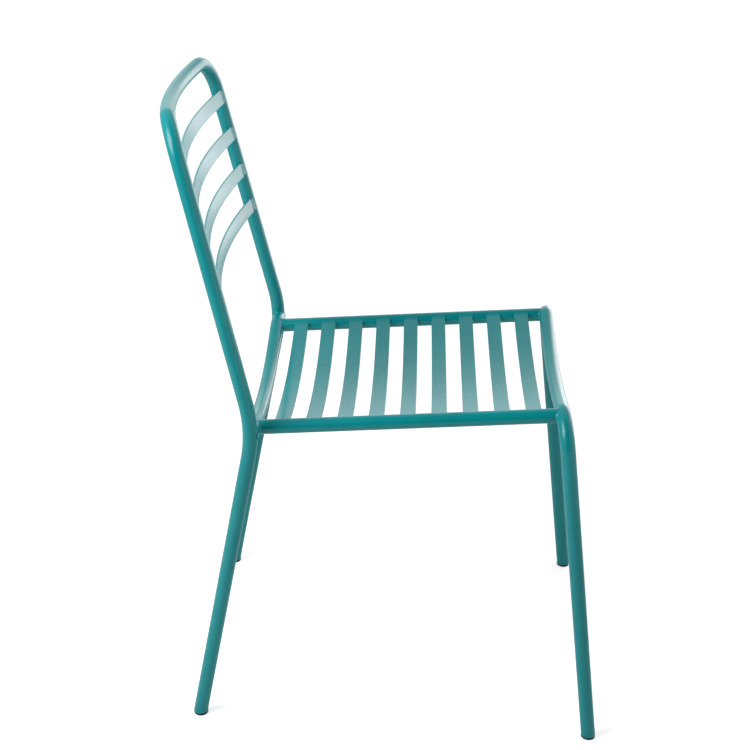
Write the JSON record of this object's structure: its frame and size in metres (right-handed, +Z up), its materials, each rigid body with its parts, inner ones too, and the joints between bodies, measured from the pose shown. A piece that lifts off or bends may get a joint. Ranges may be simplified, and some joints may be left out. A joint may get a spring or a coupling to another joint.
{
  "type": "stacking chair",
  "caption": "Stacking chair welded from round tube, with a dipped seat and a bowed back of flat bars, powder coated, on plastic foot plugs.",
  "frame": {"origin": "on the floor, under the centre of the chair's outline", "axes": "+Z up, the chair faces -Y, +X is the sitter's left"},
  "size_m": [0.461, 0.5877, 0.8284],
  "materials": {
    "powder_coat": "teal powder coat, satin with a fine orange peel",
    "glide_plastic": "black moulded polyethylene"
  },
  "bodies": {
    "root": {"rear_hoop": "powder_coat", "front_hoop": "powder_coat", "side_rail_left": "powder_coat", "side_rail_right": "powder_coat", "rear_seat_rail": "powder_coat", "seat_slat_1": "powder_coat", "seat_slat_2": "powder_coat", "seat_slat_3": "powder_coat", "seat_slat_4": "powder_coat", "seat_slat_5": "powder_coat", "seat_slat_6": "powder_coat", "seat_slat_7": "powder_coat", "seat_slat_8": "powder_coat", "seat_slat_9": "powder_coat", "back_slat_1": "powder_coat", "back_slat_2": "powder_coat", "back_slat_3": "powder_coat", "back_slat_4": "powder_coat", "foot_glide_rear_left": "glide_plastic", "foot_glide_rear_right": "glide_plastic", "foot_glide_front_left": "glide_plastic", "foot_glide_front_right": "glide_plastic"}
  },
  "joints": []
}
